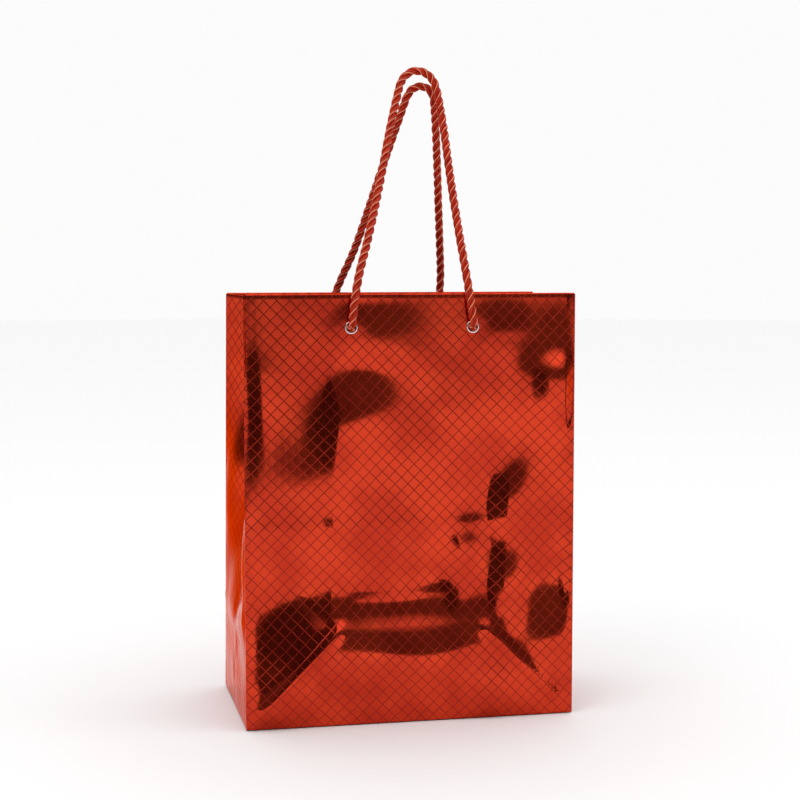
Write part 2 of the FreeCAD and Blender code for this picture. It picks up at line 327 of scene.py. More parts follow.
@dataclass(frozen=True)
class RopeFinish:
    """Satin strands of fine red filaments, some of them paler, with a painted highlight: one pale line at the
    same facing along each strand.
    """

    light: Colour = (0.64, 0.030, 0.008)
    dark: Colour = (0.20, 0.006, 0.003)
    # Pale colour of the paler filaments and of the painted highlight.
    pale_fibre_and_highlight: Colour = (1.0, 0.46, 0.26)
    filaments: float = 4.2
    threads: float = 2.6
    thread_cover: float = 0.20
    relief: float = 0.10 * MM
    # The next four numbers set the painted highlight: where on each strand its pale line lies, its core, its
    # soft edge and its strength.
    highlight_place: float = 0.42
    highlight_core: float = 0.07
    highlight_edge: float = 0.17
    line_cover: float = 0.85
    strand_shift: float = 7.3
    stretch: float = 60.0

    def make(self) -> bpy.types.Material:
        """Returns the rope material, laid out along and around each strand."""
        return material("rope", self.surface)

    def surface(self, build: Nodes) -> bpy.types.Node:
        """Returns the shader of the rope."""
        turn, along, strand, beside = (
            build.add("ShaderNodeAttribute", attribute_name=name).outputs["Fac"]
            for name in ("around", "along", "strand", "beside")
        )
        around = build.math("MULTIPLY", turn, math.tau)
        apart = build.math("MULTIPLY", strand, self.strand_shift)
        ring = build.add(
            "ShaderNodeCombineXYZ",
            {
                0: build.math("ADD", build.math("COSINE", around), apart),
                1: build.math("SINE", around),
                2: build.math("MULTIPLY", along, self.stretch),
            },
        ).outputs[0]
        fibres = build.noise(ring, self.filaments, 5.0, 0.65)
        threads = build.noise(ring, self.filaments * self.threads, 2.0, 0.5)
        colour = build.blend(build.ramp(fibres, 0.34, 0.66), self.dark, self.light)
        colour = build.blend(build.ramp(threads, 0.63, 0.74, 0.0, self.thread_cover), colour, self.pale_fibre_and_highlight)
        # Painted highlight: a pale line laid at the same facing on every strand.
        off_highlight = build.math("ABSOLUTE", build.math("SUBTRACT", beside, self.highlight_place))
        bright = build.ramp(off_highlight, self.highlight_core, self.highlight_edge, self.line_cover, 0.0)
        colour = build.blend(bright, colour, self.pale_fibre_and_highlight)
        relief = build.math("ADD", fibres, build.math("MULTIPLY", threads, 0.5))
        bump = build.add("ShaderNodeBump", {"Strength": 0.8, "Distance": self.relief, "Height": relief})
        return build.add(
            "ShaderNodeBsdfPrincipled",
            {
                "Base Color": colour,
                "Roughness": build.ramp(fibres, 0.3, 0.7, 0.42, 0.28),
                "Specular IOR Level": 0.25,
                "Specular Tint": (1.0, 0.55, 0.40),
                "Normal": bump.outputs[0],
            },
        )


@dataclass
class Finishes:
    """Every material of the bag, built once."""

    foil: bpy.types.Material = field(init=False)
    paper: bpy.types.Material = field(init=False)
    card: bpy.types.Material = field(init=False)
    metal: bpy.types.Material = field(init=False)
    rope: bpy.types.Material = field(init=False)

    def __post_init__(self) -> None:
        """Builds the shared groups and the materials."""
        grain = grain_group()
        self.foil = FoilFinish(lattice_group(), grain).make()
        self.paper = PlainFinish(
            "white_paper", grain, (0.87, 0.86, 0.84), (0.76, 0.75, 0.73), 0.62, 2600.0, 40.0, 0.03 * MM
        ).make()
        self.card = PlainFinish(
            "grey_card", grain, (0.60, 0.57, 0.52), (0.38, 0.36, 0.33), 0.80, 1500.0, 90.0, 0.08 * MM
        ).make()
        self.metal = PlainFinish(
            "eyelet_steel", grain, (0.86, 0.86, 0.87), (0.66, 0.66, 0.68), 0.20, 2400.0, 300.0, 0.01 * MM, 1.0
        ).make()
        self.rope = RopeFinish().make()


# ---------------------------------------------------------------- meshes
def mesh_object(name: str, mesh: bpy.types.Mesh, *materials: bpy.types.Material) -> bpy.types.Object:
    """Puts a mesh into the scene at the origin, with its materials."""
    made = bpy.data.objects.new(name, mesh)
    bpy.context.scene.collection.objects.link(made)
    mesh.materials.clear()
    for entry in materials:
        mesh.materials.append(entry)
    return made


def baked(piece: bpy.types.Object) -> bpy.types.Object:
    """Turns a piece and its modifiers into one plain mesh."""
    graph = bpy.context.evaluated_depsgraph_get()
    mesh = bpy.data.meshes.new_from_object(piece.evaluated_get(graph), depsgraph=graph)
    mesh.name = piece.name
    finished = mesh_object(f"{piece.name}_baked", mesh, *[m for m in mesh.materials if m])
    name = piece.name
    bpy.data.objects.remove(piece)
    finished.name = name
    return finished


def smooth(piece: bpy.types.Object, sharp: float | None = None) -> None:
    """Shades a piece smooth, apart from edges that turn by more than sharp radians."""
    piece.data.shade_smooth()
    if sharp is not None:
        piece.data.set_sharp_from_angle(angle=sharp)


def spaced(
    low: float, high: float, step: float, close: Sequence[float] = (0.4 * MM, 1.1 * MM)
) -> list[float]:
    """Places from low to high, about a step apart, with closer ones beside both ends."""
    count = max(2, round((high - low) / step))
    inner = [low + (high - low) * i / count for i in range(1, count)]
    near = [low + c for c in close] + [high - c for c in close]
    clear = max(close, default=0.0) + 0.2 * step
    return sorted([low, high, *near, *[p for p in inner if low + clear < p < high - clear]])


def grid_faces(rows: int, columns: int, closed: bool) -> list[tuple[int, int, int, int]]:
    """Quads of a grid of points, row after row, joined round if closed."""
    faces = []
    for row in range(rows - 1):
        for column in range(columns if closed else columns - 1):
            after = (column + 1) % columns
            here, above = row * columns, (row + 1) * columns
            faces.append((here + column, here + after, above + after, above + column))
    return faces


def tube_mesh(name: str, rings: np.ndarray, closed: bool) -> bpy.types.Mesh:
    """Makes a mesh from rings of points.

    Args:
        name: Name of the mesh.
        rings: Points as rings, points of a ring, 3, going so that their faces point outwards.
        closed: Whether the last ring joins the first one, or else both get a cap.

    Returns:
        The mesh.
    """
    count, around = rings.shape[:2]
    faces = []
    for row in range(count if closed else count - 1):
        below, above = row * around, (row + 1) % count * around
        for i in range(around):
            after = (i + 1) % around
            faces.append((below + i, below + after, above + after, above + i))
    if not closed:
        faces.append(tuple(reversed(range(around))))
        faces.append(tuple(range((count - 1) * around, count * around)))
    mesh = bpy.data.meshes.new(name)
    mesh.from_pydata(rings.reshape(-1, 3).tolist(), [], faces)
    return mesh


# ---------------------------------------------------------------- folded sheet
@dataclass(frozen=True)
class Dent:
    """Shallow wave pressed into a panel, which turns the foil about its middle.

    x and z are its place from the panel's foot centre, wide and high its half sizes, tilt the
    slope at its middle, and turn the way that the slope faces, in degrees from up towards +x.
    """

    x: float
    z: float
    wide: float
    high: float
    tilt: float
    turn: float = 0.0

    def height(self, x: np.ndarray, z: np.ndarray) -> np.ndarray:
        """Returns how far the dent moves the sheet outwards."""
        angle = math.radians(self.turn)
        right, up = (x - self.x * MM), (z - self.z * MM)
        along = right * math.sin(angle) + up * math.cos(angle)
        across = right * math.cos(angle) - up * math.sin(angle)
        fall = np.exp(-((across / (self.wide * MM)) ** 2) - (along / (self.high * MM)) ** 2)
        return -self.tilt * along * fall


@dataclass(frozen=True)
class Crease:
    """Pressed fold line between two points of a panel, standing out or in by rise."""

    start: tuple[float, float]
    end: tuple[float, float]
    rise: float
    wide: float = 7.0
    sharp: float = 0.7

    def height(self, x: np.ndarray, z: np.ndarray) -> np.ndarray:
        """Returns how far the crease moves the sheet outwards."""
        ax, az = self.start[0] * MM, self.start[1] * MM
        dx, dz = self.end[0] * MM - ax, self.end[1] * MM - az
        share = np.clip(((x - ax) * dx + (z - az) * dz) / (dx * dx + dz * dz), 0, 1)
        far = np.hypot(x - ax - share * dx, z - az - share * dz)
        far = np.hypot(far, self.sharp * MM) / (self.wide * MM)
        return self.rise * MM * np.clip(1 - far, 0, None) ** 1.5


@dataclass(frozen=True)
class Ripples:
    """Faint random waves of a panel that was handled."""

    seed: int
    count: int = 9
    height_each: float = 0.09
    shortest: float = 34.0
    longest: float = 95.0

    def height(self, x: np.ndarray, z: np.ndarray) -> np.ndarray:
        """Returns how far the waves move the sheet outwards."""
        draw = np.random.default_rng(self.seed)
        total = np.zeros_like(x)
        for _ in range(self.count):
            length = draw.uniform(self.shortest, self.longest) * MM
            angle, phase = draw.uniform(0, math.pi), draw.uniform(0, math.tau)
            along = x * math.cos(angle) + z * math.sin(angle)
            total += np.sin(math.tau * along / length + phase) * self.height_each * MM * length / (60 * MM)
        return total


def step_up(value: np.ndarray, low: float, high: float) -> np.ndarray:
    """Returns a smooth step from 0 at low to 1 at high."""
    share = np.clip((value - low) / (high - low), 0, 1)
    return share * share * (3 - 2 * share)


FRONT_MARKS = (
    Crease((-42, 212), (-42, 66), 0.55),
    Crease((42, 214), (42, 62), -0.60),
    Crease((-84, 106), (84, 108), 0.45, 7.0),
    Crease((-86, 4), (-42, 52), 0.85, 8.0),
    Crease((-82, 10), (-40, 52), 1.5, 5.0, 0.6),
    Crease((86, 4), (42, 50), 0.85, 8.0),
    Crease((80, 10), (40, 50), 1.5, 5.0, 0.6),
    Crease((-42, 50), (42, 52), 0.40, 8.0),
    Crease((-30, 68), (18, 70), 0.40, 5.0, 0.5),
    Crease((-42, 52), (-74, 84), -0.45, 8.0),
    Crease((42, 50), (80, 84), -0.55, 9.0),
    Dent(-26, 186, 16, 35, 0.20, 14),
    Dent(-19, 217, 18, 16, 0.47),
    Dent(-38, 172, 16, 14, 0.09, -30),
    Dent(-86, 176, 26, 7, 0.16, -90),
    Dent(50, 219, 12, 14, 0.50),
    Dent(82, 206, 16, 31, 0.40),
    Dent(50, 108, 46, 13, 0.36, -90),
    Dent(58, 92, 19, 23, 0.18, 30),
    Dent(24, 92, 30, 10, 0.32, -90),
    Dent(50, 84, 13, 22, 0.24, -14),
    Dent(52, 126, 11, 26, 0.20, 12),
    Dent(28, 98, 11, 22, 0.20, 16),
    Dent(18, 74, 16, 14, 0.16, -20),
    Dent(-20, 54, 46, 27, 0.30, 8),
    Dent(27, 56, 34, 26, 0.29, -14),
    Dent(-72, 46, 26, 28, 0.32, -14),
    Dent(-80, 20, 16, 20, 0.25, -30),
    Dent(74, 58, 24, 26, 0.30, 12),
    Dent(54, 30, 15, 30, 0.30, 24),
    Dent(-14, 10, 14, 14, 0.14, -20),
    Dent(-16, 152, 60, 46, 0.012, 60),
)
REAR_MARKS = (
    Crease((-42, 212), (-42, 60), 0.40),
    Crease((42, 212), (42, 60), -0.45),
    Crease((-84, 118), (84, 116), 0.25, 6.0),
    Crease((-86, 4), (-42, 50), 0.85, 8.0),
    Crease((86, 4), (42, 50), 0.85, 8.0),
    Crease((-42, 50), (42, 51), 0.45, 8.0),
    Dent(-50, 184, 19, 34, 0.22, 10),
    Dent(-30, 206, 40, 20, 0.34, 6),
    Dent(30, 178, 16, 26, 0.18, -24),
    Dent(54, 104, 15, 34, 0.26, 16),
    Dent(-14, 150, 16, 24, 0.12, 20),
    Dent(58, 136, 34, 12, 0.22, -80),
    Dent(28, 104, 24, 10, 0.20, 95),
    Dent(4, 54, 94, 31, 0.31),
    Dent(-68, 46, 32, 36, 0.29, 20),
    Dent(66, 44, 30, 34, 0.29, -16),
    Dent(-30, 20, 27, 21, 0.18, 40),
)
GUSSET_MARKS = (
    Dent(-24, 150, 16, 40, 0.20, 20),
    Crease((-46, 57), (46, 57), 1.5, 16.0, 1.2),
    Dent(8, 28, 30, 14, 0.14, 8),
    Dent(24, 120, 16, 40, 0.20, -20),
    Dent(-20, 86, 14, 22, 0.12),
    Dent(22, 70, 14, 22, 0.12),
)


@dataclass
class FoilSheet:
    """The one sheet of foil paper that is folded into the walls and the tucked sides.

    A place on it is given by around, the distance along the walls from the front left corner,
    and up, the distance from the base fold.
    """

    width: float
    depth: float
    height: float
    lean: float
    eyelets: Sequence[tuple[float, float]]
    finishes: Finishes
    blank: tuple[float, float] = (0.560, 0.272)
    paper: float = 0.4 * MM
    wall_inset: float = 1.7 * MM
    side_inset: float = 1.0 * MM
    hem: float = 40 * MM
    base_radius: float = 0.8 * MM
    tuck: float = 28 * MM
    dip: float = 3.2 * MM
    step: float = 2.0 * MM
    hole: float = 2.95 * MM
    stiff_share: float = 0.72
    stiff_reach: tuple[float, float] = (42 * MM, 22 * MM)
    hole_reach: tuple[float, float] = (3 * MM, 13 * MM)
    edge_fade: float = 7 * MM
    fold_fade: float = 9 * MM
    foot_fade: float = 8 * MM
    inset_fade: float = 2.5 * MM
    gusset_share: float = 0.8
    tuck_power: float = 0.85
    dip_power: float = 1.6
    nest_limit: float = 0.42
    seam_foot: float = 3 * MM
    seam_edge: float = 1 * MM
    seam_lap: float = 2 * MM
    seam_paper: float = 0.3 * MM
    card_drop: float = 34 * MM
    card_top: float = 0.4 * MM
    card_inset: float = 0.5 * MM
    card_thickness: float = 0.6 * MM

    @property
    def girth(self) -> float:
        """Length of the sheet round the bag."""
        return 2 * (self.width + self.depth)

    @property
    def foot(self) -> float:
        """Height of the triangle that the side folds leave at the base."""
        return self.depth / 2

    def folds(self) -> list[float]:
        """Returns where the sheet is folded along its girth."""
        half = self.depth / 2
        lengths = [self.width, half, half, self.width, half, half]
        return [sum(lengths[:i]) for i in range(len(lengths) + 1)]

    def columns(self) -> np.ndarray:
        """Returns the places along the girth, closer beside each fold."""
        folds = self.folds()
        places: list[float] = []
        for low, high in zip(folds, folds[1:]):
            places += spaced(low, high, self.step)[:-1]
        return np.array(places)

    def relief(self, around: np.ndarray, up: np.ndarray) -> np.ndarray:
        """Returns how far creases, dents and ripples move the sheet outwards."""
        folds = self.folds()
        panels = (
            (folds[0], folds[1], (*FRONT_MARKS, Ripples(3)), 1.0),
            (folds[1], folds[3], (*GUSSET_MARKS, Ripples(5)), self.gusset_share),
            (folds[3], folds[4], (*REAR_MARKS, Ripples(7)), 1.0),
            (folds[4], folds[6], (*GUSSET_MARKS, Ripples(11)), self.gusset_share),
        )
        total = np.zeros_like(around)
        for low, high, marks, share in panels:
            middle = (low + high) / 2
            risen = step_up(around, low, low + self.edge_fade)
            inside = risen * (1 - step_up(around, high - self.edge_fade, high))
            height = sum(mark.height(around - middle, up) for mark in marks)
            total += height * inside * share
        for fold in (folds[2], folds[5]):
            total *= step_up(np.abs(around - fold), 0.0, self.fold_fade)
        stiff_low, stiff_high = (self.height - drop for drop in self.stiff_reach)
        stiff = self.stiff_share * step_up(up, stiff_low, stiff_high)
        total *= step_up(up, 0.0, self.foot_fade) * (1 - stiff)
        for x, z in self.eyelets:
            near = np.hypot(around - x, up - z)
            total *= step_up(near, *self.hole_reach)
        return total

    def section(self, around: np.ndarray, up: np.ndarray) -> np.ndarray:
        """Returns the points of the smooth folded sheet, before its relief."""
        half_width, half_depth = self.width / 2, self.depth / 2
        folds = self.folds()
        rear = half_depth - up * math.sin(self.lean)
        rear_up = up * math.cos(self.lean)
        middle, middle_up = (rear - half_depth) / 2, (up + rear_up) / 2
        risen = np.clip((up - self.foot) / (self.height - self.foot), 0, None)
        tuck = self.tuck * risen**self.tuck_power
        middle_up = middle_up - self.dip * risen**self.dip_power
        corners = [
            (-half_width, -half_depth, up),
            (half_width, -half_depth, up),
            (half_width - tuck, middle, middle_up),
            (half_width, rear, rear_up),
            (-half_width, rear, rear_up),
            (-half_width + tuck, middle, middle_up),
            (-half_width, -half_depth, up),
        ]
        points = np.zeros((*around.shape, 3))
        wrapped = np.mod(around, self.girth)
        for low, high, start, end in zip(folds, folds[1:], corners, corners[1:]):
            share = (wrapped - low) / (high - low)
            on = (share >= 0) & (share < 1)
            for axis in range(3):
                place = start[axis] + (end[axis] - start[axis]) * share
                points[..., axis] = np.where(on, place, points[..., axis])
        return points

    def outward(self, around: np.ndarray, up: np.ndarray) -> np.ndarray:
        """Returns the direction that the sheet faces, stretched at folds so that layers nest."""
        reach = 0.3 * MM
        here = self.section(around, up)
        before = here - self.section(around - reach, up)
        after = self.section(around + reach, up) - here
        sides = []
        for run in (before, after):
            side = np.stack([run[..., 1], -run[..., 0], np.zeros_like(up)], -1)
            sides.append(side / np.linalg.norm(side, axis=-1, keepdims=True))
        both = sides[0] + sides[1]
        both /= np.linalg.norm(both, axis=-1, keepdims=True)
        cosine = np.clip((both * sides[0]).sum(-1, keepdims=True), self.nest_limit, 1)
        return both / cosine

    def place(
        self, around: np.ndarray, up: np.ndarray, inset: np.ndarray, rise: np.ndarray | float = 0.0
    ) -> np.ndarray:
        """Returns points of the sheet, moved in by inset and then raised by rise."""
        points = self.section(around, up)
        out = self.relief(around, up) - inset
        points += self.outward(around, up) * out[..., None]
        points[..., 2] += rise
        return points

    def inset(self, around: np.ndarray) -> np.ndarray:
        """Returns how far in the turned-in rim lies: the card is inside it on the walls only."""
        folds = self.folds()
        wall = np.zeros_like(around)
        wrapped = np.mod(around, self.girth)
        for low, high in ((folds[0], folds[1]), (folds[3], folds[4])):
            risen = step_up(wrapped, low, low + self.inset_fade)
            wall += risen * (1 - step_up(wrapped, high - self.inset_fade, high))
        return self.side_inset + (self.wall_inset - self.side_inset) * wall

    def rows(self) -> list[tuple[str, float, float]]:
        """Returns each row's kind, its height, and its inset at the base or its turn at the rim."""
        rows = []
        for turn in np.linspace(-90, 0, 4)[:-1]:
            angle = math.radians(turn)
            up, inset = self.base_radius * (1 + math.sin(angle)), self.base_radius * (1 - math.cos(angle))
            rows.append(("base", up, inset))
        for up in spaced(self.base_radius, self.height, self.step, close=()):
            rows.append(("wall", up, 0.0))
        for turn in np.linspace(0, 180, 8)[1:-1]:
            rows.append(("rim", self.height, math.radians(turn)))
        for up in reversed(spaced(self.height - self.hem, self.height, self.step, close=())):
            rows.append(("hem", up, 0.0))
        return rows

    def wrapper(self) -> bpy.types.Object:
        """Returns the whole folded sheet with its rim turned in, foil outside and white inside."""
        columns, rows = self.columns(), self.rows()
        around = np.tile(columns, (len(rows), 1))
        up = np.tile(np.array([row[1] for row in rows])[:, None], (1, len(columns)))
        kinds = [row[0] for row in rows]
        flat = [up[i, 0] if kind in ("base", "wall") else self.height for i, kind in enumerate(kinds)]
        for i, kind in enumerate(kinds):
            if kind == "hem":
                flat[i] = 2 * self.height + self.wall_inset - up[i, 0]
            elif kind == "rim":
                flat[i] = self.height + self.wall_inset * rows[i][2] / math.pi
        removed = self.open_holes(around, up, kinds)
        deep = self.inset(around)
        points = np.zeros((*around.shape, 3))
        for i, (kind, _, extra) in enumerate(rows):
            turned = deep[i] * (1 - math.cos(extra)) / 2
            inset = {"base": extra, "wall": 0.0, "rim": turned, "hem": deep[i]}[kind]
            rise = deep[i] / 2 * math.sin(extra) if kind == "rim" else 0.0
            points[i] = self.place(around[i], up[i], inset + np.zeros(len(columns)), rise)
        mesh = bpy.data.meshes.new("foil_wrapper")
        faces = grid_faces(len(rows), len(columns), closed=True)
        kept = [face for face in faces if not any(index in removed for index in face)]
        mesh.from_pydata(points.reshape(-1, 3).tolist(), [], kept)
        self.lay_out(mesh, len(columns), around, np.tile(np.array(flat)[:, None], (1, len(columns))))
        return self.thickened(mesh_object("foil_wrapper", mesh, self.finishes.foil, self.finishes.paper))

    def open_holes(self, around: np.ndarray, up: np.ndarray, kinds: Sequence[str]) -> set[int]:
        """Moves grid points onto the rims of the eyelet holes and returns the points inside them."""
        columns = around.shape[1]
        removed: set[int] = set()
        for x, z in self.eyelets:
            for layer in ("wall", "hem"):
                rows = [i for i, kind in enumerate(kinds) if kind == layer]
                far = {
                    (i, j): math.hypot(around[i, j] - x, up[i, j] - z) for i in rows for j in range(columns)
                }
                inside = {key for key, value in far.items() if value < self.hole}
                ring = {(i + a, j + b) for i, j in inside for a in (-1, 0, 1) for b in (-1, 0, 1)} - inside
                for i, j in ring:
                    share = self.hole / far[i, j]
                    around[i, j], up[i, j] = x + (around[i, j] - x) * share, z + (up[i, j] - z) * share
                removed |= {i * columns + j for i, j in inside}
        return removed

    def lay_out(self, mesh: bpy.types.Mesh, columns: int, around: np.ndarray, flat: np.ndarray) -> None:
        """Stores each face corner's place on the flat sheet."""
        layer = mesh.attributes.new("sheet_place", "FLOAT_VECTOR", "CORNER")
        u, v = around.reshape(-1), flat.reshape(-1)
        values = np.zeros((len(mesh.loops), 3))
        for face in mesh.polygons:
            seam = any(mesh.loops[i].vertex_index % columns == columns - 1 for i in face.loop_indices)
            for i in face.loop_indices:
                index = mesh.loops[i].vertex_index
                shift = self.girth if seam and index % columns == 0 else 0.0
                values[i] = (u[index] + shift, v[index], 0)
        layer.data.foreach_set("vector", values.reshape(-1))

    def thickened(self, piece: bpy.types.Object, thickness: float | None = None) -> bpy.types.Object:
        """Gives a piece the paper's thickness inwards, with its second material inside."""
        solid = piece.modifiers.new("paper", "SOLIDIFY")
        solid.thickness = thickness or self.paper
        solid.offset = -1.0
        solid.material_offset = 1
        solid.material_offset_rim = 1
        finished = baked(piece)
        smooth(finished, math.radians(50))
        return finished

    def patch(
        self, name: str, low: tuple[float, float], high: tuple[float, float], inset: float,
        thickness: float, outside: bpy.types.Material, inside: bpy.types.Material,
    ) -> bpy.types.Object:
        """Returns a piece that lies against the inside of the sheet.

        Args:
            name: Name of the piece.
            low: Its first corner, as around and up.
            high: Its last corner.
            inset: How far in from the foil its outer face lies.
            thickness: Its thickness.
            outside: Finish of its outer face.
            inside: Finish of its inner face and its edges.

        Returns:
            The piece.
        """
        columns = np.array(spaced(low[0], high[0], self.step, close=()))
        rows = np.array(spaced(low[1], high[1], self.step, close=()))
        around, up = np.meshgrid(columns, rows)
        removed = self.open_holes(around, up, ["wall"] * len(rows))
        points = self.place(around, up, np.full_like(around, inset))
        mesh = bpy.data.meshes.new(name)
        faces = grid_faces(len(rows), len(columns), closed=False)
        kept = [face for face in faces if not any(index in removed for index in face)]
        mesh.from_pydata(points.reshape(-1, 3).tolist(), [], kept)
        self.lay_out(mesh, len(columns) + 1, around, up)
        return self.thickened(mesh_object(name, mesh, outside, inside), thickness)

    def build(self) -> None:
        """Makes the sheet, its seam and the cards in its rim, and fixes them to the bag."""
        walls = [f"{side.value}_wall" for side in Side]
        parts = ("foot", "front_fold", "rear_fold")
        facets = [f"{hand}_gusset_{part}" for hand in HANDS for part in parts]
        hems = [f"{name}_hem" for name in ("front", "rear", "left", "right")]
        wrapper = self.wrapper()
        settle(wrapper, "bag", Slot.FOIL, *walls, *facets, *hems)
        folds = self.folds()
        low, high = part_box("side_seam_flap")
        seam_low = (folds[4] - (high.x - low.x), self.seam_foot)
        seam_high = (folds[4] - self.seam_edge, self.height - self.hem + self.seam_lap)
        paper, stock = self.finishes.paper, self.finishes.card
        seam = self.patch("side_seam", seam_low, seam_high, self.paper, self.seam_paper, paper, paper)
        settle(seam, "bag", Slot.FOIL, "side_seam_flap")
        for side, start in ((Side.FRONT, folds[0]), (Side.REAR, folds[3])):
            low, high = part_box(f"{side.value}_stiffener")
            margin = (self.width - (high.x - low.x)) / 2
            foot = (start + margin, self.height - self.card_drop)
            top = (start + self.width - margin, self.height - self.card_top)
            name = f"{side.value}_rim_card"
            card = self.patch(name, foot, top, self.card_inset, self.card_thickness, stock, stock)
            settle(card, "bag", Slot.CARD, f"{side.value}_stiffener")


def settle(piece: bpy.types.Object, body: str, slot: Slot, *nodes: str) -> None:
    """Fixes a finished piece to its body and hides the nodes that it stands for."""
    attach(piece, body)
    if nodes:
        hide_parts(*nodes)
    log.info("%s rides on %s, %d faces", piece.name, body, len(piece.data.polygons))


# ---------------------------------------------------------------- base
@dataclass
class FoldedBase:
    """The glued flaps of the base and the loose card that lies on them."""

    finishes: Finishes
    corner: float = 1.6 * MM
    start: float = 0.9 * MM
    bow: float = 0.15 * MM
    play: float = 1.9 * MM
    gap: float = 0.02 * MM
    taper: float = 4 * MM

    def board(self, name: str, outline: Sequence[tuple[float, float]], low: float, high: float,
              under: bpy.types.Material, over: bpy.types.Material, bow: float = 0.0) -> bpy.types.Object:
        """Returns a flat board with rounded corners and softened edges.

        Args:
            name: Name of the piece.
            outline: Its corners from above, anticlockwise.
            low: Height of its lower face.
            high: Height of its upper face.
            under: Finish of its lower face.
            over: Finish of its upper face and edges.
            bow: How far its middle stands above its edges.

        Returns:
            The board.
        """
        soft = (high - low) * 0.3
        insets = ((low, soft), (low + soft, 0.0), (high - soft, 0.0), (high, soft))
        rings = np.array([[(*p, z) for p in self.rounded(outline, inset)] for z, inset in insets])
        mesh = tube_mesh(name, rings, closed=False)
        piece = mesh_object(name, mesh, under, over)
        layer = mesh.attributes.new("sheet_place", "FLOAT_VECTOR", "CORNER")
        places = [(*mesh.vertices[loop.vertex_index].co.xy, 0.0) for loop in mesh.loops]
        layer.data.foreach_set("vector", np.array(places).reshape(-1))
        for face in mesh.polygons:
            face.material_index = 0 if face.normal.z < -0.9 else 1
        if bow:
            reach = max(abs(x) for x, _ in outline)
            for vertex in mesh.vertices:
                vertex.co.z += bow * (1 - (vertex.co.x / reach) ** 2)
        smooth(piece, math.radians(30))
        return piece

    def rounded(self, outline: Sequence[tuple[float, float]], inset: float) -> list[tuple[float, float]]:
        """Returns an outline with round corners, moved in by inset."""
        points = []
        count = len(outline)
        for i, corner in enumerate(outline):
            here, before, after = (Vector(p) for p in (corner, outline[i - 1], outline[(i + 1) % count]))
            back, ahead = (before - here).normalized(), (after - here).normalized()
            half = back.angle(ahead) / 2
            centre = here + (back + ahead).normalized() * (self.corner / math.sin(half))
            first = Vector((-(-back).y, (-back).x)) * -1
            turn = math.pi - 2 * half
            for share in np.linspace(0, 1, 6):
                angle = turn * share
                spoke = Vector((first.x * math.cos(angle) - first.y * math.sin(angle),
                                first.x * math.sin(angle) + first.y * math.cos(angle)))
                points.append(tuple(centre + spoke * (self.corner - inset)))
        return points

    def build(self) -> None:
        """Makes the four flaps and the loose card."""
        foil, paper = self.finishes.foil, self.finishes.paper
        for name in ("front", "rear", "left", "right"):
            low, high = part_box(f"base_flap_{name}")
            if name in ("front", "rear"):
                left, right = low.x + self.start, high.x - self.start
                near = low.y + self.start * (name == "front")
                far = high.y - self.start * (name == "rear")
                near_taper, far_taper = (0.0, self.taper) if name == "front" else (self.taper, 0.0)
                outline = [(left + near_taper, near), (right - near_taper, near),
                           (right - far_taper, far), (left + far_taper, far)]
            else:
                reach = high.x - low.x
                side = 1 if name == "right" else -1
                outer = side * (max(abs(low.x), abs(high.x)) - self.start)
                inner = side * (min(abs(low.x), abs(high.x)))
                wide, narrow = high.y - self.start, high.y - reach
                outline = [(outer, -wide), (outer, wide), (inner, narrow), (inner, -narrow)]
                outline = outline if side == 1 else outline[::-1]
            under, over = low.z + self.gap, high.z - self.gap
            piece = self.board(f"base_fold_{name}", outline, under, over, foil, paper)
            settle(piece, "bag", Slot.FOIL, f"base_flap_{name}")
        low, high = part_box("base_card")
        left, right, near, far = low.x + self.play, high.x - self.play, low.y + self.play, high.y
        outline = [(left, near), (right, near), (right, far), (left, far)]
        stock = self.finishes.card
        card = self.board("base_board", outline, low.z, high.z, stock, stock, self.bow)
        settle(card, "insert", Slot.CARD, "base_card")


# ---------------------------------------------------------------- rope
FRONT_ROUTE: tuple[Point, ...] = (
    (-0.0314, -0.0530, 0.2340),
    (-0.0224, -0.0420, 0.2590),
    (-0.0128, -0.0272, 0.2900),
    (-0.0049, -0.0140, 0.3190),
    (0.0003, -0.0069, 0.3360),
    (0.0039, -0.0036, 0.3478),
    (0.0100, -0.0029, 0.3526),
    (0.0174, -0.0029, 0.3520),
    (0.0228, -0.0036, 0.3466),
    (0.0246, -0.0072, 0.3350),
    (0.0258, -0.0140, 0.3180),
    (0.0264, -0.0270, 0.2900),
    (0.0280, -0.0416, 0.2590),
    (0.0299, -0.0530, 0.2340),
)
REAR_ROUTE: tuple[Point, ...] = (
    (-0.0255, 0.0330, 0.2340),
    (-0.0169, 0.0278, 0.2530),
    (-0.0094, 0.0202, 0.2790),
    (-0.0010, 0.0118, 0.3080),
    (0.0056, 0.0050, 0.3300),
    (0.0092, 0.0030, 0.3412),
    (0.0139, 0.0027, 0.3446),
    (0.0196, 0.0027, 0.3442),
    (0.0236, 0.0030, 0.3402),
    (0.0249, 0.0048, 0.3290),
    (0.0274, 0.0108, 0.3080),
    (0.0304, 0.0196, 0.2800),
    (0.0334, 0.0278, 0.2520),
    (0.0352, 0.0330, 0.2330),
)


def smooth_line(points: Sequence[Sequence[float]], resolution: int = 14) -> list[Vector]:
    """Returns points along the smooth curve that a list of control points gives."""
    data = bpy.data.curves.new("route", "CURVE")
    data.dimensions = "3D"
    spline = data.splines.new("NURBS")
    spline.points.add(len(points) - 1)
    for point, place in zip(spline.points, points):
        point.co = (*place, 1.0)
    spline.order_u = 3
    spline.use_endpoint_u = True
    spline.resolution_u = resolution
    holder = bpy.data.objects.new("route", data)
    bpy.context.scene.collection.objects.link(holder)
    graph = bpy.context.evaluated_depsgraph_get()
    mesh = bpy.data.meshes.new_from_object(holder.evaluated_get(graph), depsgraph=graph)
    line = [vertex.co.copy() for vertex in mesh.vertices]
    bpy.data.objects.remove(holder)
    return line


